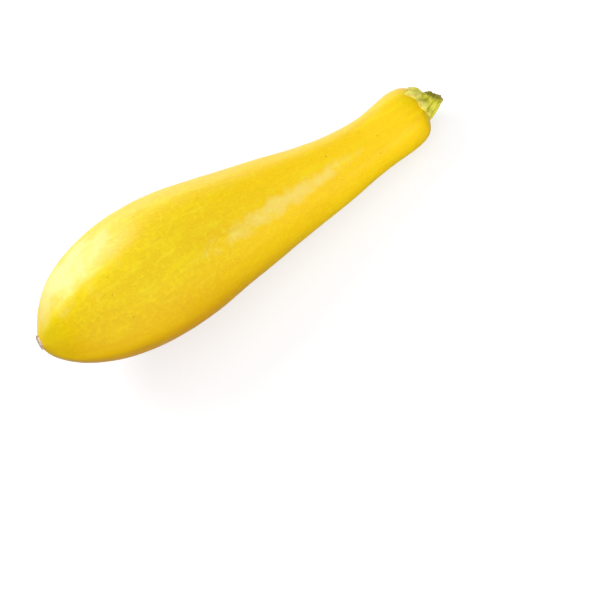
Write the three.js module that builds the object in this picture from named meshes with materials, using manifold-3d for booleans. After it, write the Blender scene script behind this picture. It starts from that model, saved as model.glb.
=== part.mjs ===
// A yellow straightneck summer squash, as picked: a full bulb at the blossom end, a slim neck, and a short
// cut stub of the stem whose lobed foot spreads over the neck's shoulder. It lies on its side, on the
// bulb and the shoulder. Millimetres, +Z up, the long axis along X with the stem towards +X, and the origin
// on the surface it lies on, under the middle of its box.
import * as THREE from 'three';
import { mergeVertices } from 'three/addons/utils/BufferGeometryUtils.js';
import Module from 'manifold-3d';

const wasm = await Module();
wasm.setup();

// ---- driving dimensions -------------------------------------------------------------------------------

const FRUIT_LENGTH = 216; // from the blossom end to the foot of the stem
const BULB_RADIUS = 33.5; // at the fullest part of the bulb
const GAP = 0.3; // kept between pieces that touch
const REST_FLAT_DEPTH = 0.7; // how far the underside is pressed flat where the fruit lies

// The fruit's outline: share of the length from the blossom end, share of the bulb's radius.
const OUTLINE = [
  [0, 0], [0.001, 0.1], [0.01, 0.24], [0.025, 0.39], [0.06, 0.605], [0.11, 0.79], [0.17, 0.911],
  [0.24, 0.979], [0.31, 1.003], [0.38, 0.972], [0.45, 0.891], [0.52, 0.8], [0.6, 0.7], [0.68, 0.59],
  [0.76, 0.497], [0.83, 0.438], [0.875, 0.4255], [0.93, 0.449], [0.965, 0.425], [0.988, 0.35],
  [0.999, 0.22], [1.002, 0.1], [1.0025, 0],
];
// The neck bows to one side and its end turns back: sideways shift of the axis at each fifth of the length.
const AXIS_SHIFT = [0.4, 1.15, 1.35, -1.2, -3.95, 1.5];

// Five main ribs run from the blossom end and fade out up the neck, with five lesser ones between them.
const RIBS = 5;
const RIBS_TURN = THREE.MathUtils.degToRad(-20); // from the top towards +Y to the first rib
const MAIN_RIB_HEIGHT = 0.8;
const LESSER_RIB_HEIGHT = 0.25;
const RIB_PEAK = 0.14; // share of the length where the ribs stand highest
const RIB_SPREAD = 0.24;

const SCAR_RADIUS = 3.8; // the corky scar that the flower left
const SCAR_THICKNESS = 1.3;

const STEM_LEAN = THREE.MathUtils.degToRad(24);
const STEM_LEANS_TO = THREE.MathUtils.degToRad(5); // from the top towards +Y
const STEM_REACH = 7; // from the neck's end to the middle of the cut, along the stem
const CUT_SLANT = THREE.MathUtils.degToRad(6); // the cut isn't square across the stem
const CUT_SLANTS_TO = THREE.MathUtils.degToRad(8);
const STEM_CUT_HOLLOW = 0.5; // the cut's pith dries back from its rim
// The stub's outline from inside the neck to the cut: radius, distance along the stem from the neck's end.
const STEM_FLARE = [[8, -3], [7.4, -0.9], [6.2, 1.2], [5.4, 2.9], [4.7, 4.7], [4.3, STEM_REACH]];
const STEM_RIDGE_HEIGHT = 0.6;
const FOOT_THICKNESS = 1.1; // of the lobes that lie on the shoulder
const FOOT_RADIUS = 5.8; // from where the lobes spread
const NOTCH_DEPTH = 0.25; // share of the spread that is missing between two lobes
// The foot's lobes, each the end of a ridge of the stub: degrees from the top towards +Y, radius at the tip.
const LOBES = [[-125, 6.4], [-78, 7.8], [-40, 12.2], [3, 14.2], [38, 12], [95, 11], [165, 9]];

const RING_SEGMENTS = 50; // round the fruit
const LENGTH_STEPS = 52; // along the fruit
const STEM_SEGMENTS = 70;

// ---- geometry helpers ---------------------------------------------------------------------------------

// Turns a closed profile of Vector2(radius, along) round the X axis.
function turned(profile, segments) {
  return new THREE.LatheGeometry(profile, segments).rotateZ(-Math.PI / 2);
}

// Moves each vertex of a geometry by a function that changes the vector it is given.
function reshape(geometry, move) {
  const position = geometry.getAttribute('position');
  const point = new THREE.Vector3();
  for (let i = 0; i < position.count; i++) {
    move(point.fromBufferAttribute(position, i));
    position.setXYZ(i, point.x, point.y, point.z);
  }
  return geometry;
}

function toSolid(geometry) {
  const bare = geometry.clone();
  bare.deleteAttribute('normal');
  bare.deleteAttribute('uv');
  const merged = mergeVertices(bare, 1e-3);
  const mesh = new wasm.Mesh({
    numProp: 3,
    vertProperties: merged.getAttribute('position').array,
    triVerts: new Uint32Array(merged.index.array),
  });
  return new wasm.Manifold(mesh);
}

function toGeometry(solid) {
  const mesh = solid.getMesh();
  return new THREE.BufferGeometry()
    .setAttribute('position', new THREE.BufferAttribute(mesh.vertProperties, 3))
    .setIndex(new THREE.BufferAttribute(mesh.triVerts, 1));
}

// ---- fruit --------------------------------------------------------------------------------------------

const axis = new THREE.CatmullRomCurve3(
  AXIS_SHIFT.map((shift, i) => new THREE.Vector3((i / (AXIS_SHIFT.length - 1)) * FRUIT_LENGTH, shift, 0)),
);

function axisShift(along) {
  return axis.getPoint(THREE.MathUtils.clamp(along / FRUIT_LENGTH, 0, 1)).y;
}

// How far the ribs raise the skin, at an angle measured from the top of the fruit.
function ribHeight(along, angle) {
  const fade = Math.exp(-(((along / FRUIT_LENGTH - RIB_PEAK) / RIB_SPREAD) ** 2));
  const main = MAIN_RIB_HEIGHT * Math.cos(RIBS * (angle - RIBS_TURN));
  const lesser = LESSER_RIB_HEIGHT * Math.cos(2 * RIBS * (angle - RIBS_TURN));
  return fade * (main + lesser);
}

// The fruit's solid before it is laid down, its skin moved out by grow.
function fruitShape(grow) {
  const outline = new THREE.SplineCurve(
    OUTLINE.map(([along, radius]) => new THREE.Vector2(radius * BULB_RADIUS, along * FRUIT_LENGTH)),
  );
  const profile = outline.getSpacedPoints(LENGTH_STEPS);
  const middle = FRUIT_LENGTH / 2;
  profile.forEach((point) => {
    const towardsEnd = (point.y - middle) / middle;
    point.x = Math.max(0, point.x);
    if (point.x > 0) point.x += grow;
    point.y += grow * towardsEnd;
  });
  profile[0].x = 0;
  profile[profile.length - 1].x = 0;
  return reshape(turned(profile, RING_SEGMENTS), (point) => {
    const radius = Math.hypot(point.y, point.z);
    const angle = Math.atan2(point.y, point.z);
    const full = Math.min(1, radius / SCAR_RADIUS - 1); // the ribs end at the scar
    const raised = radius + Math.max(0, full) * ribHeight(point.x, angle);
    point.y = raised * Math.sin(angle) + axisShift(point.x);
    point.z = raised * Math.cos(angle);
  });
}

// The angle and height at which the fruit lies on its bulb and its shoulder at once.
function restingPlace(geometry) {
  const position = geometry.getAttribute('position');
  const lowest = (angle, fromShare, toShare) => {
    let low = Infinity;
    for (let i = 0; i < position.count; i++) {
      const x = position.getX(i);
      if (x < fromShare * FRUIT_LENGTH || x > toShare * FRUIT_LENGTH) continue;
      low = Math.min(low, position.getZ(i) * Math.cos(angle) - x * Math.sin(angle));
    }
    return low;
  };
  const NECK_STARTS = 0.7;
  let [level, steep] = [0, Math.PI / 6];
  for (let step = 0; step < 30; step++) {
    const angle = (level + steep) / 2;
    if (lowest(angle, NECK_STARTS, 1.1) > lowest(angle, -1, NECK_STARTS)) level = angle;
    else steep = angle;
  }
  return { angle: level, height: -lowest(level, -1, 1.1) - REST_FLAT_DEPTH };
}

const fruitGeometry = fruitShape(0);
const rest = restingPlace(fruitGeometry);

// Presses flat what would reach below the surface that the fruit lies on.
const down = new THREE.Vector3(Math.sin(rest.angle), 0, -Math.cos(rest.angle));
reshape(fruitGeometry, (point) => {
  const below = point.dot(down) - rest.height;
  if (below > 0) point.addScaledVector(down, -below);
});

// ---- stem ---------------------------------------------------------------------------------------------

// How full the lobe is at an angle from the top, from 0 in a notch to 1 on its ridge, and how far it reaches.
function lobeAt(angle) {
  const [firstRidge, firstReach] = LOBES[0];
  const past = THREE.MathUtils.euclideanModulo(THREE.MathUtils.radToDeg(angle) - firstRidge, 360);
  const degrees = firstRidge + past;
  const round = [...LOBES, [firstRidge + 360, firstReach]];
  const next = round.findIndex(([ridge]) => ridge > degrees);
  const [[from, fromReach], [to, toReach]] = [round[next - 1], round[next]];
  const share = (degrees - from) / (to - from);
  const full = Math.abs(Math.cos(share * Math.PI)); // a round lobe between two sharp notches
  return { full, reach: THREE.MathUtils.lerp(fromReach, toReach, share) };
}

// Ridges run down the stub, each into the middle of a lobe of the foot.
function stemColumn() {
  const flare = new THREE.SplineCurve(
    STEM_FLARE.map(([radius, along]) => new THREE.Vector2(radius, along)),
  );
  const foot = new THREE.Vector2(0, STEM_FLARE[0][1]);
  const cutMiddle = new THREE.Vector2(0, STEM_REACH - STEM_CUT_HOLLOW);
  const round = turned([foot, ...flare.getPoints(14), cutMiddle], STEM_SEGMENTS);
  const ridged = reshape(round, (point) => {
    const radius = Math.hypot(point.y, point.z);
    if (radius < 1e-6) return;
    const angle = Math.atan2(point.y, point.z);
    const raised = STEM_RIDGE_HEIGHT * (2 * lobeAt(angle).full - 1);
    point.y *= (radius + raised) / radius;
    point.z *= (radius + raised) / radius;
    const towardsCut = Math.max(0, point.x / STEM_REACH);
    point.x -= towardsCut * Math.tan(CUT_SLANT) * radius * Math.cos(angle - CUT_SLANTS_TO);
  });
  const straight = new THREE.Vector3(1, 0, 0);
  const leaning = new THREE.Vector3(0, Math.sin(STEM_LEANS_TO), Math.cos(STEM_LEANS_TO))
    .multiplyScalar(Math.sin(STEM_LEAN))
    .addScaledVector(straight, Math.cos(STEM_LEAN));
  return ridged
    .applyQuaternion(new THREE.Quaternion().setFromUnitVectors(straight, leaning))
    .translate(FRUIT_LENGTH, axisShift(FRUIT_LENGTH), 0);
}

// A prism along X with the outline of the foot's rounded lobes.
function footOutline() {
  const points = [];
  for (let i = 0; i < STEM_SEGMENTS; i++) {
    const angle = (i / STEM_SEGMENTS) * 2 * Math.PI;
    const { full, reach } = lobeAt(angle);
    const radius = reach - (1 - full) * NOTCH_DEPTH * (reach - FOOT_RADIUS);
    points.push(new THREE.Vector2(radius * Math.cos(angle), -radius * Math.sin(angle)));
  }
  const FOOT_BACK = 14;
  return new THREE.ExtrudeGeometry(new THREE.Shape(points), { depth: 2 * FOOT_BACK, bevelEnabled: false })
    .rotateY(Math.PI / 2)
    .rotateX(Math.PI)
    .translate(FRUIT_LENGTH - FOOT_BACK, axisShift(FRUIT_LENGTH), 0);
}

function stemGeometry() {
  const foot = toSolid(fruitShape(FOOT_THICKNESS)).intersect(toSolid(footOutline()));
  return toGeometry(foot.add(toSolid(stemColumn())).subtract(toSolid(fruitShape(GAP))));
}

// ---- blossom scar -------------------------------------------------------------------------------------

function scarGeometry() {
  const profile = [
    [0, -SCAR_THICKNESS * 0.6],
    [SCAR_RADIUS * 0.45, -SCAR_THICKNESS * 0.7],
    [SCAR_RADIUS * 0.8, -SCAR_THICKNESS],
    [SCAR_RADIUS, -SCAR_THICKNESS * 0.6],
    [SCAR_RADIUS * 0.95, -GAP],
    [0, -GAP],
  ].map(([radius, along]) => new THREE.Vector2(radius, along));
  return turned(profile, 30).translate(0, axisShift(0), 0);
}

// ---- assembly -----------------------------------------------------------------------------------------

const skin = new THREE.MeshStandardMaterial({ color: 0xf4cc0a, roughness: 0.38 });
const greenStem = new THREE.MeshStandardMaterial({ color: 0xc6c535, roughness: 0.62 });
const cork = new THREE.MeshStandardMaterial({ color: 0x9a7647, roughness: 0.9 });

const squash = new THREE.Group();

function addPiece(name, geometry, material) {
  const piece = new THREE.Mesh(geometry, material);
  piece.name = name;
  squash.add(piece);
}

addPiece('fruit', fruitGeometry, skin);
addPiece('stem', stemGeometry(), greenStem);
addPiece('blossom_scar', scarGeometry(), cork);

squash.rotation.y = rest.angle;
squash.position.z = rest.height;

const part = new THREE.Group();
part.add(squash);
part.updateMatrixWorld(true);
const middle = new THREE.Box3().setFromObject(part, true).getCenter(new THREE.Vector3());
squash.position.x = -middle.x;
squash.position.y = -middle.y;

export default part;
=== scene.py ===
"""A yellow straightneck squash lying on a pale studio floor.

The fruit, the cut stem and the blossom scar are each modelled ring by ring from a circle, level along +X
with the blossom end at the origin. They are then tipped by the drop of the fruit's axis and moved to the
fruit's place, because the fruit lies on its bulb and its shoulder.
"""
import math
import random
from functools import partial

import bmesh
import bpy
from mathutils import Matrix, Vector


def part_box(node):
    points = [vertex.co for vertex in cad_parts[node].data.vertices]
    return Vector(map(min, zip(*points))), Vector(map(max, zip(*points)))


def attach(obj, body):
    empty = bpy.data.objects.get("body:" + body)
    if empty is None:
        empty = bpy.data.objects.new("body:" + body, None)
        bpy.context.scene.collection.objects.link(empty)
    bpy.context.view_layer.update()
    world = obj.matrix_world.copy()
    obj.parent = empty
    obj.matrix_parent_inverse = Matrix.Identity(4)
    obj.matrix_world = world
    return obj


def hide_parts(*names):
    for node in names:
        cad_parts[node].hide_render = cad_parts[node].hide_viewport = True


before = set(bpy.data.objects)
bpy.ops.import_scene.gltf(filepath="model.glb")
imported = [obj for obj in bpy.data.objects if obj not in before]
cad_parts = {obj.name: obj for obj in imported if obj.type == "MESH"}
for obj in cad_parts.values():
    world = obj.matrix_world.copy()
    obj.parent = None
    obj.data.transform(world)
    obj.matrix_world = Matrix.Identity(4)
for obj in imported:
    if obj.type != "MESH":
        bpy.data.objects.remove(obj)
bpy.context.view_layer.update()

MM = 0.001
TOUCH = 0.01 * MM  # two places nearer than this are one

# ---- places and sizes, from the frame ------------------------------------------------------------------

FRUIT_LOW, FRUIT_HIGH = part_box("fruit")
SCAR_LOW, SCAR_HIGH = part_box("blossom_scar")

AXIS_DROP = math.radians(8.216)  # the fruit's axis drops towards the stem
AXIS = Vector((math.cos(AXIS_DROP), 0, -math.sin(AXIS_DROP)))
LENGTH = (FRUIT_HIGH.x - FRUIT_LOW.x) / AXIS.x
BULB_RADIUS = (FRUIT_HIGH.y - FRUIT_LOW.y) / 2

SCAR_MIDDLE = (SCAR_LOW + SCAR_HIGH) / 2
SCAR_RADIUS = (SCAR_HIGH.y - SCAR_LOW.y) / 2
BLOSSOM_END = SCAR_MIDDLE + AXIS * (FRUIT_LOW.x - SCAR_MIDDLE.x) / AXIS.x

# ---- the fruit's shape ---------------------------------------------------------------------------------

# Its outline from the blossom end: share of the length, share of the bulb's radius, sideways shift in mm.
OUTLINE = (
    (0.0016, 0.086, -0.6), (0.0040, 0.146, -0.6), (0.0100, 0.222, -0.6), (0.022, 0.342, -0.6),
    (0.040, 0.471, -0.4), (0.062, 0.596, -0.1), (0.090, 0.711, 0.3), (0.122, 0.810, 0.5),
    (0.158, 0.887, 0.6), (0.198, 0.941, 0.8), (0.240, 0.980, 0.9), (0.280, 0.998, 1.0),
    (0.320, 1.001, 1.1), (0.360, 0.984, 1.1), (0.400, 0.950, 0.9), (0.440, 0.900, 0.6),
    (0.480, 0.849, 0.1), (0.520, 0.796, -0.5), (0.560, 0.746, -1.1), (0.600, 0.695, -1.6),
    (0.640, 0.640, -2.3), (0.680, 0.585, -3.1), (0.720, 0.536, -3.9), (0.757, 0.495, -4.3),
    (0.792, 0.462, -4.4), (0.826, 0.437, -4.0), (0.856, 0.424, -3.3), (0.885, 0.429, -2.5),
    (0.912, 0.444, -1.6), (0.936, 0.448, -0.8), (0.956, 0.435, -0.3), (0.972, 0.406, 0.1),
    (0.984, 0.357, 0.4), (0.992, 0.270, 0.6), (0.9965, 0.170, 0.7), (0.998, 0.100, 0.7),
)
NECK_END = Vector((OUTLINE[-1][0] * LENGTH, OUTLINE[-1][2] * MM, 0))  # the level stem starts here

RING_SIDES = 40  # eight to each of the five ribs
RIB_SIDES = 8
RIBS_TURN = -2  # sides from the top towards +Y to the first rib
RIBS_FROM = 3  # the rings before this one are too small for ribs
# How far the skin stands out, in mm, from the top of a rib to the furrow beside it, side by side.
RIB_PROFILE = (1.35, 0.55, -0.15, -0.50, -0.60)
RIB_PEAK = 0.14  # share of the length where the ribs stand highest
RIB_SPREAD = 0.24  # share of the length over which they fade from there

# The blossom end turns to one side bit by bit: how far along it bends in mm, and by how many degrees.
TIP_BENDS = ((14, 3), (9, 4), (5, 4), (2.2, 4), (0.8, 4))
TIP_TURNS_TO = math.radians(-20)  # from the top towards +Y

FRUIT_LUMPS = ((45, 1.2), (14, 0.35), (5, 0.1))  # size and height in mm

# Pale patches, partly paler skin and partly a painted highlight where the lights shine on the wax: share of
# the length, degrees from the top towards +Y, how far it reaches along and round from there in mm, its
# strength, and the size of its blotches in mm.
PALE_SKIN_AND_PAINTED_HIGHLIGHTS = ((0.12, 16, 42, 26, 0.48, 9), (0.62, -47, 54, 9, 0.28, 4.5))

# ---- the stem's shape ----------------------------------------------------------------------------------

# Its ridges, each of which ends in a lobe of the foot: degrees from the top towards +Y, the lobe's reach in
# mm, and how full the ridge is.
LOBES = (
    (-128, 7.4, 1.4), (-82, 7.6, 0.9), (-40, 12.2, 1.1), (3, 14.2, 1), (38, 11.8, 1.9), (95, 11, 1.3),
    (165, 9, 0.8),
)
SPOKES = 72  # corners of each of the stem's rings
FOOT_RADIUS = 5.2  # mm, from where the lobes spread
NOTCH_DEPTH = 0.25  # share of the spread that is missing between two lobes
SWELL_INWARDS = 1.6  # how fast a full ridge thickens towards the stub
# The foot's rings, from under it to its top: share of the spread, and the height above the fruit's skin on
# a ridge and in a notch, in mm.
FOOT_RINGS = (
    (0, -0.7, -0.7), (0.85, -0.6, -0.6), (1, 0.2, -0.3), (0.97, 0.95, 0.05), (0.85, 1.6, 0.2),
    (0.63, 2.1, 0.3), (0.37, 2.4, 0.45), (0.12, 2.6, 1.2),
)
# The stub's rings: radius on a ridge and in a notch, height above the neck's end, and how much a full ridge
# adds to that height, in mm. The last is cut away.
STUB_RINGS = ((5.7, 4.4, 3.8, 1.6), (5.0, 3.8, 5.2, 0.4), (4.7, 3.7, 11.0, 0))

# The stub leans bit by bit: the height above the neck's end in mm, and by how many degrees.
STEM_BENDS = ((1.5, 8), (2.8, 10), (4.2, 10), (5.4, 4))
STEM_LEANS_TO = math.radians(5)  # from the top towards +Y
BENT_RADIUS = 7.2 * MM  # how far from its middle the stub bends, so that the lobes lie still

STEM_REACH = 7.4  # mm along the stub from the neck's end to the cut
CUT_SLANT = math.radians(42)
CUT_SLANTS_TO = math.radians(18)  # from the top towards +Y
CUT_RADIUS = 5.85 * MM  # how far from the stub's middle the cut goes, so that it spares the lobes
CUT_TEAR = 0.25  # mm that the cut's rim is torn by, each way
TEAR_SEED = 7
# From the rim of the cut down into its dried pith: what is left of the ring's width, and how much deeper it
# is in mm.
CUT_RINGS = ((0.90, -0.1), (0.88, 0.35), (0.80, 0.5), (0.65, 0.15), (0.4, -0.2))

STEM_LUMPS = ((3, 0.5), (0.9, 0.14))  # size and height in mm
STEM_TUBE = 7  # mm, radius of the tube that the stem's fibres are laid out on

# ---- the blossom scar's shape --------------------------------------------------------------------------

# Its rings, from inside the fruit round its corky rim to the nub: share of its radius, and distance along
# in mm.
SCAR_RINGS = (
    (0.70, 1.0), (0.90, 0.7), (1.00, 0.45), (1.03, 0.15), (0.96, -0.05), (0.84, -0.05), (0.70, 0.2),
    (0.54, 0.25), (0.38, 0.1), (0.20, -0.1), (0.08, -0.1),
)
SCAR_SIDES = 24
SCAR_ROUGHNESS = 0.2  # mm that its corners are out of place by
SCAR_SEED = 5
SCAR_LUMPS = (0.8, 0.2)  # size and height in mm
SCAR_TUBE = 3  # mm, radius of the tube that the scar's fibres are laid out on

SHREDS = 11  # dried shreds of the flower's base, round the rim
SHRED_SIZE = (0.5, 1.4, 0.3)  # mm along, across and outwards, where a shred starts
SHRED_ALONG = 0.1  # mm from the blossom end to there
SHRED_OUTWARDS = 0.93  # share of the scar's radius, to there
# How a shred is drawn in over the rim: step along and outwards in mm, and its narrowing.
SHRED_STEPS = ((-0.05, -0.35, 0.95), (-0.05, -0.45, 0.85), (0.05, -0.45, 0.7), (0.1, -0.4, 0.5))
SHRED_THINNING = 0.85  # at each step
SHRED_SEED = 11
SHRED_WANDER = 0.3  # share of the way to the next shred
SHRED_SCALES = ((0.5, 1.1), (0.6, 1.2), (0.85, 1.0))  # least and most along, across and outwards


# ---- modelling helpers ---------------------------------------------------------------------------------

def select_only(piece):
    bpy.ops.object.select_all(action="DESELECT")
    piece.select_set(True)
    bpy.context.view_layer.objects.active = piece


def start_piece(name, sides, radius, place):
    """A filled circle facing along X at place, opened in edit mode with all of it selected."""
    bpy.ops.object.select_all(action="DESELECT")
    bpy.ops.mesh.primitive_circle_add(
        vertices=sides, radius=radius, fill_type="NGON", location=place, rotation=(0, math.pi / 2, 0)
    )
    piece = bpy.context.object
    piece.name = name
    bpy.ops.object.transform_apply(location=True, rotation=True, scale=True)
    bpy.ops.object.mode_set(mode="EDIT")
    bpy.context.tool_settings.mesh_select_mode = (True, False, False)
    bpy.ops.mesh.select_all(action="SELECT")
    return piece


def pick(piece, test):
    """In edit mode, selects just the vertices whose places pass the test."""
    mesh = bmesh.from_edit_mesh(piece.data)
    for vertex in mesh.verts:
        vertex.select = test(vertex.co)
    mesh.select_flush_mode()
    bmesh.update_edit_mesh(piece.data)


def grow_ring(step, widen, middle):
    """Extrudes the selected ring by step, and widens it about its new middle."""
    bpy.ops.mesh.extrude_region_move(TRANSFORM_OT_translate={"value": step})
    bpy.ops.transform.resize(value=(1, widen, widen), center_override=middle)


def close_mesh():
    """Turns all faces outwards and leaves edit mode."""
    bpy.ops.mesh.select_all(action="SELECT")
    bpy.ops.mesh.normals_make_consistent(inside=False)
    bpy.ops.object.mode_set(mode="OBJECT")


def apply_modifier(piece, kind, **settings):
    select_only(piece)
    modifier = piece.modifiers.new(kind.title(), kind)
    for name, value in settings.items():
        setattr(modifier, name, value)
    bpy.ops.object.modifier_apply(modifier=modifier.name)


def smooth(piece, levels):
    apply_modifier(piece, "SUBSURF", levels=levels, render_levels=levels)


def lumps(piece, size, height):
    """Raises and sinks the surface in soft lumps of this size, by up to half of height, both in mm."""
    texture = bpy.data.textures.new("lumps", "CLOUDS")
    texture.noise_scale = size * MM
    texture.noise_depth = 1
    apply_modifier(piece, "DISPLACE", texture=texture, strength=height * MM, mid_level=0.5)
    bpy.data.textures.remove(texture)


def keep_values(piece, name, value_at):
    """Keeps three values for each vertex on the piece, for its material to read."""
    values = piece.data.attributes.new(name, "FLOAT_VECTOR", "POINT").data
    for vertex in piece.data.vertices:
        values[vertex.index].vector = value_at(vertex.co)


def lay_down(piece):
    """Tips a finished level piece as the fruit's axis drops, and moves it to the fruit's place."""
    select_only(piece)
    bpy.ops.object.mode_set(mode="EDIT")
    bpy.ops.mesh.select_all(action="SELECT")
    bpy.ops.transform.rotate(value=-AXIS_DROP, orient_axis="Y", center_override=(0, 0, 0))
    bpy.ops.transform.translate(value=BLOSSOM_END)
    bpy.ops.object.mode_set(mode="OBJECT")


def hand_over(piece, node, material):
    """Gives a finished piece its material, hangs it on the root body, and hides the frame's part it stands
    for.
    """
    piece.data.materials.clear()
    piece.data.materials.append(material)
    select_only(piece)
    bpy.ops.object.shade_smooth()
    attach(piece, "root")
    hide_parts(node)


def spoke_direction(angle):
    """The way across the axis at an angle from the top towards +Y."""
    return Vector((0, math.sin(angle), math.cos(angle)))


def from_line(spot, way):
    """How far a place is from the line through zero along way."""
    return (spot - way * spot.dot(way)).length


# ---- the fruit -----------------------------------------------------------------------------------------

def model_fruit():
    along, radius, shift = OUTLINE[0]
    fruit = start_piece(
        "squash_fruit", RING_SIDES, radius * BULB_RADIUS, (along * LENGTH, shift * MM, 0)
    )
    for (before, was, from_side), (along, radius, shift) in zip(OUTLINE, OUTLINE[1:]):
        middle = Vector((along * LENGTH, shift * MM, 0))
        step = middle - Vector((before * LENGTH, from_side * MM, 0))
        grow_ring(step, radius / was, middle)
    for along, radius, shift in OUTLINE[RIBS_FROM:]:
        middle = Vector((along * LENGTH, shift * MM, 0))
        fade = math.exp(-(((along - RIB_PEAK) / RIB_SPREAD) ** 2))
        for side, height in enumerate(RIB_PROFILE):
            pick(fruit, lambda place: on_rib_side(place, middle, side))
            raised = 1 + height * MM * fade / (radius * BULB_RADIUS)
            bpy.ops.transform.resize(value=(1, raised, raised), center_override=middle)
    turn_tip(fruit)
    close_mesh()
    smooth(fruit, levels=3)
    for size, height in FRUIT_LUMPS:
        lumps(fruit, size, height)
    lay_down(fruit)
    press_flat(fruit)
    return fruit


def on_rib_side(place, middle, side):
    """Whether a vertex is on the ring round middle and this many sides from the top of its rib."""
    from_middle = place - middle
    if abs(from_middle.x) > TOUCH:
        return False
    turned = math.atan2(from_middle.y, from_middle.z) / math.tau * RING_SIDES
    from_rib = (round(turned) - RIBS_TURN) % RIB_SIDES
    return min(from_rib, RIB_SIDES - from_rib) == side


def turn_tip(piece):
    """In edit mode, bends the blossom end bit by bit, rolled meanwhile so that it turns straight up."""
    bpy.ops.mesh.select_all(action="SELECT")
    bpy.ops.transform.rotate(value=-TIP_TURNS_TO, orient_axis="X", center_override=(0, 0, 0))
    pivot = Vector((TIP_BENDS[0][0] * MM, 0, 0))
    way = Vector((-1, 0, 0))
    turned = 0
    for (along, degrees), (onward, _) in zip(TIP_BENDS, TIP_BENDS[1:] + ((0, 0),)):
        pick(piece, lambda place: (place - pivot).dot(way) > 0)
        bpy.ops.transform.rotate(value=-math.radians(degrees), orient_axis="Y", center_override=pivot)
        turned += math.radians(degrees)
        way = Vector((-math.cos(turned), 0, math.sin(turned)))
        pivot += way * (along - onward) * MM
    bpy.ops.mesh.select_all(action="SELECT")
    bpy.ops.transform.rotate(value=TIP_TURNS_TO, orient_axis="X", center_override=(0, 0, 0))


def press_flat(piece):
    """Flattens what would reach below the floor."""
    select_only(piece)
    bpy.ops.object.mode_set(mode="EDIT")
    pick(piece, lambda place: place.z < 0)
    bpy.ops.transform.resize(value=(1, 1, 0), center_override=(0, 0, 0))
    bpy.ops.object.mode_set(mode="OBJECT")


# ---- the stem ------------------------------------------------------------------------------------------

def skin_height(radius):
    """How far along the level fruit its skin is, at this distance from the axis near the neck's end."""
    shoulder = [(share * BULB_RADIUS, along * LENGTH) for along, share, _ in reversed(OUTLINE)]
    for (inner, inner_along), (outer, outer_along) in zip(shoulder, shoulder[1:]):
        if radius <= outer:
            part = max(0, (radius - inner) / (outer - inner))
            return inner_along + (outer_along - inner_along) * part


def lobe_at(angle):
    """At an angle from the top towards +Y: 0 in a notch to 1 on a ridge, the lobe's reach, and how full."""
    first_ridge, *first = LOBES[0]
    degrees = first_ridge + (math.degrees(angle) - first_ridge) % 360
    for (ridge, *lobe), (next_ridge, *next_lobe) in zip(LOBES, LOBES[1:] + ((first_ridge + 360, *first),)):
        if degrees < next_ridge:
            share = (degrees - ridge) / (next_ridge - ridge)
            reach, full = (value + share * (onward - value) for value, onward in zip(lobe, next_lobe))
            return abs(math.cos(math.pi * share)), reach, full


def stem_rings():
    """For each ring of the stem: its middle and radius when round, and the place of each spoke's end."""
    angles = [math.tau * spoke / SPOKES for spoke in range(SPOKES)]
    rings = []
    for share, ridge_lift, notch_lift in FOOT_RINGS:
        places = {}
        for angle in angles:
            ridge, reach, full = lobe_at(angle)
            spread = (reach - FOOT_RADIUS) * (1 - NOTCH_DEPTH * (1 - ridge))
            radius = (FOOT_RADIUS + share * spread) * MM
            lift = ridge_lift
            if ridge_lift > 0:
                swell = 1 + (full - 1) * (1 - share) * SWELL_INWARDS
                lift = swell * (notch_lift + ridge * (ridge_lift - notch_lift))
            along = skin_height(radius) + lift * MM
            places[angle] = Vector((along, NECK_END.y, 0)) + spoke_direction(angle) * radius
        middle = Vector((skin_height(FOOT_RADIUS * MM) + notch_lift * MM, NECK_END.y, 0))
        rings.append((middle, (FOOT_RADIUS + share) * MM, places))
    for widest, notch, height, added in STUB_RINGS:
        middle = NECK_END + Vector((height * MM, 0, 0))
        places = {}
        for angle in angles:
            ridge, _, full = lobe_at(angle)
            raised = Vector(((full - 1) * added * MM, 0, 0))
            outwards = notch + ridge * (widest - notch)
            places[angle] = middle + raised + spoke_direction(angle) * outwards * MM
        rings.append((middle, notch * MM, places))
    return rings


def model_stem():
    rings = stem_rings()
    middle, radius, _ = rings[0]
    stem = start_piece("squash_stem", SPOKES, radius, middle)
    for (before, was, _), (middle, radius, _) in zip(rings, rings[1:]):
        grow_ring(middle - before, radius / was, middle)
    for middle, radius, places in rings[1:]:
        for angle, place in places.items():
            start = middle + spoke_direction(angle) * radius
            pick(stem, lambda spot: (spot - start).length < TOUCH)
            bpy.ops.transform.translate(value=place - start)
    close_mesh()
    keep_values(stem, "growth", stem_growth)
    keep_values(stem, "grain", stem_grain)
    middle, way = lean_stem(stem)
    cut_stem(stem, middle, way)
    smooth(stem, levels=2)
    for size, height in STEM_LUMPS:
        lumps(stem, size, height)
    lay_down(stem)
    return stem


def stem_growth(spot):
    """What the stem's material is told of a place: how much of a ridge it is, its height and its radius.

    The height is from the neck's end, before the stub leans, and both are in mm.
    """
    from_end = (spot - NECK_END) / MM
    ridge = lobe_at(math.atan2(from_end.y, from_end.z))[0]
    return ridge, from_end.x, math.hypot(from_end.y, from_end.z)


def stem_grain(spot):
    """A place on the stem in mm, drawn out onto a tube along which its fibres run."""
    from_end = (spot - NECK_END) / MM
    outwards = Vector((0, from_end.y, from_end.z))
    return Vector((from_end.x - outwards.length, 0, 0)) + outwards.normalized() * STEM_TUBE


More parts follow.
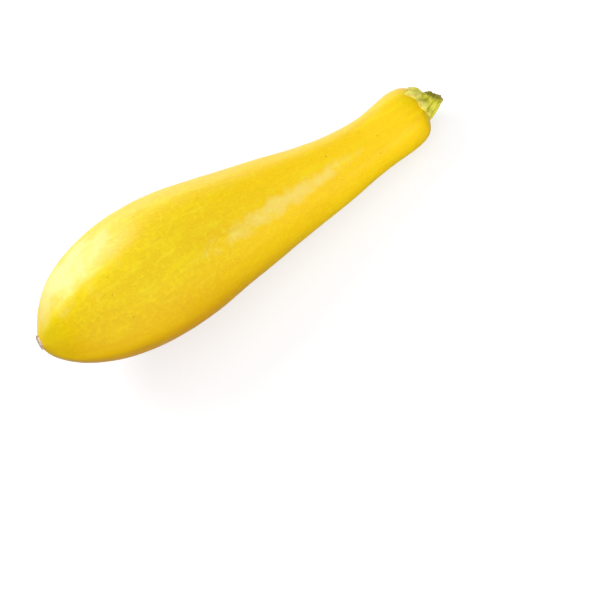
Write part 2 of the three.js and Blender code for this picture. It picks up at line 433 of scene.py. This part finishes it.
def lean_stem(stem):
    """Bends the stub bit by bit, rolled meanwhile so that it leans straight up.

    Gives the middle of the cut to come, and the way along the stub there.
    """
    select_only(stem)
    bpy.ops.object.mode_set(mode="EDIT")
    bpy.ops.mesh.select_all(action="SELECT")
    bpy.ops.transform.rotate(value=-STEM_LEANS_TO, orient_axis="X", center_override=NECK_END)
    way = Vector((1, 0, 0))
    pivot = NECK_END.copy()
    lean = 0
    bent_at = 0
    for height, degrees in STEM_BENDS:
        pivot += way * (height - bent_at) * MM
        pick(stem, lambda spot: (spot - pivot).dot(way) > 0 and from_line(spot - pivot, way) < BENT_RADIUS)
        bpy.ops.transform.rotate(value=math.radians(degrees), orient_axis="Y", center_override=pivot)
        lean += math.radians(degrees)
        way = Vector((math.cos(lean), 0, math.sin(lean)))
        bent_at = height
    pivot += way * (STEM_REACH - bent_at) * MM
    bpy.ops.mesh.select_all(action="SELECT")
    bpy.ops.transform.rotate(value=STEM_LEANS_TO, orient_axis="X", center_override=NECK_END)
    bpy.ops.object.mode_set(mode="OBJECT")
    roll = Matrix.Rotation(-STEM_LEANS_TO, 3, "X")
    return NECK_END + roll @ (pivot - NECK_END), roll @ way


def cut_stem(stem, middle, way):
    """Cuts the stub across on a slant, tears the rim, and sinks the pith, which it marks as cut."""
    faces = Vector((math.cos(CUT_SLANT), 0, 0)) + spoke_direction(CUT_SLANTS_TO) * math.sin(CUT_SLANT)
    stem.data.attributes.active = stem.data.attributes.new("cut", "FLOAT", "POINT")
    bpy.ops.object.mode_set(mode="EDIT")
    pick(stem, lambda spot: from_line(spot - middle, way) < CUT_RADIUS)
    bpy.ops.mesh.bisect(plane_co=middle, plane_no=faces, use_fill=True, clear_outer=True)
    tear_rim(stem, middle)
    for narrow, deeper in CUT_RINGS:
        middle = middle - faces * deeper * MM
        bpy.ops.mesh.extrude_region_move(TRANSFORM_OT_translate={"value": -faces * deeper * MM})
        bpy.ops.transform.resize(value=(narrow, narrow, narrow), center_override=middle)
        bpy.ops.mesh.attribute_set(value_float=1)
    close_mesh()


def tear_rim(piece, middle):
    """Moves each selected vertex a little to any side.

    They are taken in their order round middle, because bisect makes them in a new order each time.
    """
    mesh = bmesh.from_edit_mesh(piece.data)
    rim = [vertex for vertex in mesh.verts if vertex.select]
    wind = random.Random(TEAR_SEED)
    for vertex in sorted(rim, key=lambda vertex: math.atan2(*(vertex.co - middle).yz)):
        vertex.co += Vector([wind.uniform(-1, 1) for _ in range(3)]) * CUT_TEAR * MM
    bmesh.update_edit_mesh(piece.data)


# ---- the blossom scar ----------------------------------------------------------------------------------

def model_scar():
    radius, along = SCAR_RINGS[0]
    scar = start_piece("squash_scar", SCAR_SIDES, radius * SCAR_RADIUS, (along * MM, 0, 0))
    for (was, before), (radius, along) in zip(SCAR_RINGS, SCAR_RINGS[1:]):
        grow_ring(((along - before) * MM, 0, 0), radius / was, (along * MM, 0, 0))
    bpy.ops.mesh.select_all(action="SELECT")
    bpy.ops.transform.vertex_random(offset=SCAR_ROUGHNESS * MM, seed=SCAR_SEED)
    close_mesh()
    smooth(scar, levels=2)
    shred = model_shred()
    wind = random.Random(SHRED_SEED)
    for number in range(SHREDS):
        select_only(shred)
        bpy.ops.object.duplicate()
        copy = bpy.context.object
        wander = wind.uniform(-SHRED_WANDER, SHRED_WANDER)
        copy.rotation_euler.x = math.tau * (number + wander) / SHREDS
        copy.scale = [wind.uniform(least, most) for least, most in SHRED_SCALES]
        bpy.ops.object.transform_apply(location=False, rotation=True, scale=True)
        scar.select_set(True)
        bpy.context.view_layer.objects.active = scar
        bpy.ops.object.join()
    bpy.data.objects.remove(shred)
    keep_values(scar, "grain", scar_grain)
    bpy.ops.object.mode_set(mode="EDIT")
    turn_tip(scar)
    bpy.ops.object.mode_set(mode="OBJECT")
    lumps(scar, *SCAR_LUMPS)
    lay_down(scar)
    return scar


def model_shred():
    """One dried shred of the flower's base: a tongue on the scar's rim that curls and narrows to a tip."""
    start = Vector((SHRED_ALONG * MM, 0, SHRED_OUTWARDS * SCAR_RADIUS))
    bpy.ops.object.select_all(action="DESELECT")
    bpy.ops.mesh.primitive_cube_add(size=MM, location=start, scale=SHRED_SIZE)
    shred = bpy.context.object
    shred.name = "shred"
    bpy.ops.object.transform_apply(location=True, rotation=True, scale=True)
    bpy.ops.object.mode_set(mode="EDIT")
    pick(shred, lambda spot: spot.x < 0)
    tip = start - Vector((SHRED_SIZE[0] / 2 * MM, 0, 0))
    for along, outwards, narrow in SHRED_STEPS:
        step = Vector((along, 0, outwards)) * MM
        tip += step
        bpy.ops.mesh.extrude_region_move(TRANSFORM_OT_translate={"value": step})
        bpy.ops.transform.resize(value=(1, narrow, SHRED_THINNING), center_override=tip)
    close_mesh()
    smooth(shred, levels=2)
    return shred


def scar_grain(spot):
    """A place on the scar in mm, spread onto a tube along which its dried fibres run."""
    outwards = Vector((0, spot.y, spot.z)) / MM
    return Vector((spot.x / MM - outwards.length, 0, 0)) + outwards.normalized() * SCAR_TUBE


# ---- materials -----------------------------------------------------------------------------------------

def colour(code):
    """Linear colour of an sRGB hex code."""
    channels = [int(code[i:i + 2], 16) / 255 for i in (0, 2, 4)]
    linear = [c / 12.92 if c <= 0.04045 else ((c + 0.055) / 1.055) ** 2.4 for c in channels]
    return (*linear, 1)


def add(tree, kind, output, inputs=(), **settings):
    """Adds a node with its settings, and gives one of its outputs.

    Its inputs, by name or in order, are values or the outputs of other nodes.
    """
    node = tree.nodes.new("ShaderNode" + kind)
    for name, value in settings.items():
        setattr(node, name, value)
    sockets = [socket for socket in node.inputs if socket.enabled]
    by_name = {socket.name: socket for socket in reversed(sockets)}
    given = inputs.items() if isinstance(inputs, dict) else zip(sockets, inputs)
    for key, value in given:
        socket = by_name[key] if isinstance(key, str) else key
        if isinstance(value, bpy.types.NodeSocket):
            tree.links.new(value, socket)
        else:
            socket.default_value = value
    return next(socket for socket in node.outputs if socket.enabled and socket.name == output)


def start_material(name, **uniform):
    """A material, its own add, and its shader with the values that are the same all over."""
    material = bpy.data.materials.new(name)
    material.use_nodes = True
    shader = material.node_tree.nodes["Principled BSDF"]
    for setting, value in uniform.items():
        shader.inputs[setting.replace("_", " ")].default_value = value
    return material, partial(add, material.node_tree), shader


def finish_material(put, shader, paint, roughness, height):
    """Links a shader's colour and roughness, and its bump from a height in mm."""
    links = shader.id_data.links
    links.new(paint, shader.inputs["Base Color"])
    links.new(roughness, shader.inputs["Roughness"])
    bump = put("Bump", "Normal", {"Strength": 1, "Distance": MM, "Height": height})
    links.new(bump, shader.inputs["Normal"])


def make_rind():
    # A thin waxy skin over pale watery flesh. The wax gives a broad satin highlight, and the flesh a soft
    # warm glow where the light falls off. Pale patches painted on the skin add to the highlight, and
    # painted shade deepens the gold under the bulb. The skin is mottled and streaked lengthwise as it grew.
    material, put, skin = start_material(
        "waxy_squash_rind", IOR=1.45, Specular_IOR_Level=0.42, Subsurface_Weight=0.2,
        Subsurface_Radius=(1, 0.8, 0.1), Subsurface_Scale=4 * MM
    )
    place = put("Mapping", "Vector", {
        "Vector": put("TexCoord", "Object"), "Location": BLOSSOM_END,
        "Rotation": (0, AXIS_DROP, 0), "Scale": (MM, MM, MM),
    }, vector_type="TEXTURE")  # in mm from the blossom end, with X along the axis
    along, aside, above = put("SeparateXYZ", "X", (place,)).node.outputs
    outwards = put("VectorMath", "Vector", (place, (0, 1, 1)), operation="MULTIPLY")
    outwards = put("VectorMath", "Vector", (outwards,), operation="NORMALIZE")
    lengthwise = put("VectorMath", "Vector", (place, (1, 0, 0)), operation="MULTIPLY")
    # Places drawn onto a tube as wide as the bulb, so that what grew lengthwise runs together at both ends.
    tube = [BULB_RADIUS / MM] * 3
    growth = put("VectorMath", "Vector", (outwards, tube, lengthwise), operation="MULTIPLY_ADD")
    share = put("MapRange", "Result", (along, 0, LENGTH / MM, 0, 1))

    # The neck is brighter and warmer than the bulb.
    neck = put("MapRange", "Result", (share, 0.3, 0.75, 0, 1), interpolation_type="SMOOTHSTEP")
    paint = put("Mix", "Result", (neck, colour("eecb00"), colour("fbce00")), data_type="RGBA")

    # Each rib is a little more golden than the furrows, with a painted highlight along its paler top. Both
    # fade towards the neck.
    turns = put("Math", "Value", (aside, above), operation="ARCTAN2")
    turns = put("Math", "Value", (turns, RIBS_TURN * math.tau / RING_SIDES), operation="SUBTRACT")
    turns = put("Math", "Value", (turns, RING_SIDES / RIB_SIDES), operation="MULTIPLY")
    rib = put("Math", "Value", (turns,), operation="COSINE")
    ribbed = put("MapRange", "Result", (share, 0.03, 0.45, 1, 0), interpolation_type="SMOOTHSTEP")
    for low, high, tint, strength in ((-0.9, 0.3, "ecc400", 0.4), (0.6, 1, "fae400", 0.5)):
        mask = put("MapRange", "Result", (rib, low, high, 0, strength))
        mask = put("Math", "Value", (mask, ribbed), operation="MULTIPLY")
        paint = put("Mix", "Result", (mask, paint, colour(tint)), data_type="RGBA")

    # Each: where it is taken from, how far it is drawn out along the fruit, its size in mm, from where to
    # where in its noise it shows, its tint, and its strength on the bulb and on the neck.
    for where, drawn, size, low, high, tint, on_bulb, on_neck in (
        (growth, 3, 15, 0.52, 0.70, "fbe400", 0.45, 0.45),  # pale blotches
        (growth, 2.5, 22, 0.50, 0.68, "e9b700", 0.30, 0.30),  # riper golden blotches
        (growth, 4.5, 3.0, 0.52, 0.70, "fdec30", 0.28, 0.10),  # fine pale streaks
        (growth, 4, 2.0, 0.54, 0.70, "d4b400", 0.18, 0.08),  # fine duller streaks
        (place, 1, 2.4, 0.46, 0.70, "fde810", 0.34, 0.20),  # pale mottling
        (place, 1, 0.8, 0.50, 0.70, "fff040", 0.24, 0.12),  # pale freckles
        (place, 1, 0.9, 0.55, 0.75, "c89400", 0.20, 0.20),  # darker pores
        (place, 1, 2.2, 0.73, 0.78, "8a5a1e", 0.75, 0.75),  # a few corky specks
        (growth, 5, 0.9, 0.74, 0.80, "b98a3c", 0.55, 0.55),  # a few dried scratches
    ):
        spread = put("VectorMath", "Vector", (where, (1 / drawn, 1, 1)), operation="MULTIPLY")
        noise = put("TexNoise", "Fac", {"Vector": spread, "Scale": 1 / size, "Detail": 3})
        strength = put("MapRange", "Result", (neck, 0, 1, on_bulb, on_neck))
        mask = put("MapRange", "Result", (noise, low, high, 0, strength), interpolation_type="SMOOTHSTEP")
        paint = put("Mix", "Result", (mask, paint, colour(tint)), data_type="RGBA")

    # Pale patches, partly paler skin and partly painted highlight, whose blotches make their edges ragged.
    for centre, degrees, reach_along, reach_round, strength, blotches in PALE_SKIN_AND_PAINTED_HIGHLIGHTS:
        spot = Vector((centre * LENGTH, 0, 0)) + spoke_direction(math.radians(degrees)) * BULB_RADIUS
        away = put("VectorMath", "Vector", (growth, spot / MM), operation="SUBTRACT")
        shorter = (1 / reach_along, 1 / reach_round, 1 / reach_round)
        away = put("VectorMath", "Vector", (away, shorter), operation="MULTIPLY")
        away = put("VectorMath", "Value", (away,), operation="LENGTH")
        ragged = put("TexNoise", "Fac", {"Vector": place, "Scale": 1 / blotches, "Detail": 4})
        away = put("Math", "Value", (ragged, 1.3, away), operation="MULTIPLY_ADD")
        mask = put("MapRange", "Result", (away, 1.6, 0.75, 0, strength), interpolation_type="SMOOTHSTEP")
        paint = put("Mix", "Result", (mask, paint, colour("faf5b8")), data_type="RGBA")

    # Greener where the flower was, and a deeper gold painted under the bulb as shade.
    tip = put("MapRange", "Result", (share, 0.1, 0, 0, 0.7), interpolation_type="SMOOTHSTEP")
    paint = put("Mix", "Result", (tip, paint, colour("e8dc14")), data_type="RGBA")
    painted_shade_under_bulb = put("MapRange", "Result", (above, 26, -20, 0, 0.9), interpolation_type="SMOOTHSTEP")
    bulb = put("Math", "Value", (1, neck), operation="SUBTRACT")
    painted_shade_under_bulb = put("Math", "Value", (painted_shade_under_bulb, bulb), operation="MULTIPLY")
    paint = put("Mix", "Result", (painted_shade_under_bulb, paint, colour("e8a400")), data_type="RGBA")

    # The wax is rubbed in patches of 7 mm. The skin has dimples of 1.3 mm on swells of 5 mm.
    mottle = put("TexNoise", "Fac", {"Vector": place, "Scale": 1 / 7, "Detail": 3})
    roughness = put("MapRange", "Result", (mottle, 0.35, 0.65, 0.33, 0.41))
    dimples = put("TexNoise", "Fac", {"Vector": place, "Scale": 1 / 1.3, "Detail": 2})
    height = put("Math", "Value", (dimples, 0.03), operation="MULTIPLY")
    swells = put("TexNoise", "Fac", {"Vector": place, "Scale": 1 / 5, "Detail": 2})
    height = put("Math", "Value", (swells, 0.12, height), operation="MULTIPLY_ADD")
    finish_material(put, skin, paint, roughness, height)
    return material


def make_stem_skin():
    # A squash's hard fibrous stalk, cut and half torn off: pale ridges that run out into the lobes of its
    # foot, olive green between them and darkened by painted shade in the grooves, dull and finely ribbed,
    # and darker where the cut has dried.
    material, put, skin = start_material(
        "cut_fibrous_stalk", IOR=1.45, Specular_IOR_Level=0.3, Subsurface_Weight=0.1,
        Subsurface_Radius=(0.6, 0.8, 0.1), Subsurface_Scale=1.5 * MM
    )
    growth = put("Attribute", "Vector", attribute_name="growth")
    ridge, up, radius = put("SeparateXYZ", "X", (growth,)).node.outputs
    grain = put("Attribute", "Vector", attribute_name="grain")
    place = put("VectorMath", "Vector", (put("TexCoord", "Object"), 1 / MM), operation="SCALE")

    # Paler out on the foot. The grooves are greener, partly their own colour and partly painted shade, and
    # this fades on the lobes.
    foot = put("MapRange", "Result", (radius, 4.5, 10, 0, 1))
    paint = put("Mix", "Result", (foot, colour("d8d43c"), colour("faf06c")), data_type="RGBA")
    groove_green_and_shade = put("MapRange", "Result", (ridge, 0.55, 0.1, 0, 0.8))
    faded = put("MapRange", "Result", (radius, 6, 11, 1, 0.35))
    groove_green_and_shade = put("Math", "Value", (groove_green_and_shade, faded), operation="MULTIPLY")
    paint = put("Mix", "Result", (groove_green_and_shade, paint, colour("a6a410")), data_type="RGBA")

    # Pale and green fibres, half a millimetre thick and drawn out along the stalk.
    fibres = put("VectorMath", "Vector", (grain, (0.12, 1, 1)), operation="MULTIPLY")
    fibres = put("TexNoise", "Fac", {"Vector": fibres, "Scale": 1 / 0.5, "Detail": 3})
    for low, high, tint, strength in ((0.55, 0.7, "f6ee8c", 0.5), (0.45, 0.3, "a4aa28", 0.3)):
        mask = put("MapRange", "Result", (fibres, low, high, 0, strength))
        paint = put("Mix", "Result", (mask, paint, colour(tint)), data_type="RGBA")

    # Corky tan patches of 3 mm where the lobes' tips have dried.
    patches = put("TexNoise", "Fac", {"Vector": place, "Scale": 1 / 3, "Detail": 2})
    patches = put("MapRange", "Result", (patches, 0.5, 0.62, 0, 0.55))
    tips = put("MapRange", "Result", (radius, 9, 12, 0, 1))
    mask = put("Math", "Value", (patches, tips), operation="MULTIPLY")
    paint = put("Mix", "Result", (mask, paint, colour("e2b26a")), data_type="RGBA")

    # Dried towards the cut, and olive brown in its pith.
    dried = put("MapRange", "Result", (up, 5.4, 7.2, 0, 0.6))
    paint = put("Mix", "Result", (dried, paint, colour("8c8420")), data_type="RGBA")
    pith = put("TexNoise", "Fac", {"Vector": place, "Scale": 1 / 1.1, "Detail": 3})
    pith = put("MapRange", "Result", (pith, 0.35, 0.65, 0, 1))
    pith = put("Mix", "Result", (pith, colour("726a1a"), colour("bcb63a")), data_type="RGBA")
    cut = put("Attribute", "Fac", attribute_name="cut")
    paint = put("Mix", "Result", (cut, paint, pith), data_type="RGBA")

    roughness = put("MapRange", "Result", (fibres, 0.3, 0.7, 0.5, 0.7))
    height = put("Math", "Value", (fibres, 0.25), operation="MULTIPLY")
    finish_material(put, skin, paint, roughness, height)
    return material


def make_cork():
    # The corky scar that the flower left, with dried shreds of it: matt and pale buff, with brown fibres.
    material, put, cork = start_material("dried_blossom_cork", Specular_IOR_Level=0.2)
    grain = put("Attribute", "Vector", attribute_name="grain")
    fibres = put("VectorMath", "Vector", (grain, (0.3, 1, 1)), operation="MULTIPLY")
    fibres = put("TexNoise", "Fac", {"Vector": fibres, "Scale": 1 / 0.7, "Detail": 3})
    paint = put("MapRange", "Result", (fibres, 0.34, 0.54, 0, 1))
    paint = put("Mix", "Result", (paint, colour("a07e58"), colour("f0dcc0")), data_type="RGBA")
    roughness = put("MapRange", "Result", (fibres, 0.3, 0.7, 0.7, 0.95))
    height = put("Math", "Value", (fibres, 0.3), operation="MULTIPLY")
    finish_material(put, cork, paint, roughness, height)
    return material


# ---- studio --------------------------------------------------------------------------------------------

VIEW_LIFT = math.radians(55)  # how far round the fruit's axis the camera is raised from the floor
VIEW_ROLL = math.radians(31.7)  # how far the fruit's axis rises to the right in the view
VIEW_WIDTH = 288 * MM  # what the view spans at the fruit
LENS = 100  # mm
SENSOR = 36  # mm
AIM_ALONG = 0.54  # share of the length that the view's middle stands beside
AIM_BELOW = 47.7 * MM  # how far below the axis, in the view, its middle is

LEVEL_SIDE = Vector((0, -1, 0))
OVER_AXIS = Vector((math.sin(AXIS_DROP), 0, math.cos(AXIS_DROP)))
BACK = LEVEL_SIDE * math.cos(VIEW_LIFT) + OVER_AXIS * math.sin(VIEW_LIFT)
ACROSS = BACK.cross(AXIS)
RIGHT = AXIS * math.cos(VIEW_ROLL) - ACROSS * math.sin(VIEW_ROLL)
UP = AXIS * math.sin(VIEW_ROLL) + ACROSS * math.cos(VIEW_ROLL)
AIM = BLOSSOM_END + AXIS * AIM_ALONG * LENGTH - ACROSS * AIM_BELOW

FLOOR_SIZE = 8  # m

# The room's glow, low behind the fruit where its table would be: which way it lies, the dot product with
# that way where it starts and where it is full, and its strength elsewhere and there.
GLOW_TOWARD = (0, 0.95, -0.3)
GLOW_EDGE = (0.4, 0.9)
GLOW_STRENGTH = (0.06, 1)

# Each: its name, which way it lies from the middle of the fruit, its distance, width and height in m, its
# power in W, and whether the skin mirrors it.
SOFTBOXES = (
    ("key_softbox", (-0.33, 0.64, 0.62), 0.9, 0.6, 0.5, 6, True),
    ("back_softbox", (-0.15, 1.0, 0.1), 1.4, 1.6, 0.5, 2.5, True),
    ("top_softbox", (0, -0.3, 1), 1.3, 2.5, 2.5, 20, False),
    ("front_softbox", (-0.25, -1.0, 0.1), 1.2, 2.0, 1.0, 11, False),
    ("neck_softbox", (1.0, -0.85, 0), 0.3, 0.3, 0.06, 0.2, False),
    ("table_softbox", (0.1, -0.8, -0.6), 0.9, 1.6, 0.6, 1.1, False),
)


def add_camera():
    bpy.ops.object.camera_add()
    camera = bpy.context.object
    camera.data.lens = LENS
    camera.data.sensor_width = SENSOR
    distance = VIEW_WIDTH * LENS / SENSOR
    turn = Matrix((RIGHT, UP, BACK)).transposed().to_4x4()
    camera.matrix_world = Matrix.Translation(AIM + BACK * distance) @ turn
    bpy.context.scene.camera = camera


def add_softbox(name, toward, distance, width, height, power, mirrored):
    """A rectangular soft light that faces the middle of the fruit."""
    middle = (FRUIT_LOW + FRUIT_HIGH) / 2
    toward = Vector(toward)
    bpy.ops.object.light_add(type="AREA", location=middle + toward.normalized() * distance)
    light = bpy.context.object
    light.name = name
    light.data.shape = "RECTANGLE"
    light.data.size = width
    light.data.size_y = height
    light.data.energy = power
    light.rotation_euler = toward.to_track_quat("Z", "Y").to_euler()
    light.visible_glossy = mirrored


def add_floor():
    """A lit table, whose own glow keeps the paper white round a soft grey shadow."""
    bpy.ops.object.select_all(action="DESELECT")
    bpy.ops.mesh.primitive_plane_add(size=FLOOR_SIZE, location=(0, 0, 0))
    floor = bpy.context.object
    floor.name = "floor"
    # It neither lights the fruit nor is mirrored in it, and the table softbox shines up through it.
    floor.visible_diffuse = False
    floor.visible_glossy = False
    floor.visible_shadow = False
    paper, _, _ = start_material(
        "white_paper", Base_Color=colour("a0a0a4"), Roughness=0.9, Emission_Color=colour("ffffff"),
        Emission_Strength=0.7
    )
    floor.data.materials.append(paper)


def add_room():
    """A room that glows low behind the fruit and is dim elsewhere, but looks white all over."""
    world = bpy.data.worlds.new("studio")
    bpy.context.scene.world = world
    world.use_nodes = True
    put = partial(add, world.node_tree)
    toward = put("TexCoord", "Generated")
    glow = put("VectorMath", "Value", (toward, GLOW_TOWARD), operation="DOT_PRODUCT")
    glow = put("MapRange", "Result", (glow, *GLOW_EDGE, *GLOW_STRENGTH))
    seen = put("LightPath", "Is Camera Ray")
    glow = put("Math", "Value", (glow, seen), operation="MAXIMUM")
    sky = world.node_tree.nodes["Background"]
    sky.inputs["Color"].default_value = colour("ffffff")
    world.node_tree.links.new(glow, sky.inputs["Strength"])


def add_studio():
    add_floor()
    add_room()
    for softbox in SOFTBOXES:
        add_softbox(*softbox)
    add_camera()
    bpy.context.scene.view_settings.view_transform = "Standard"


hand_over(model_fruit(), "fruit", make_rind())
hand_over(model_stem(), "stem", make_stem_skin())
hand_over(model_scar(), "blossom_scar", make_cork())
add_studio()
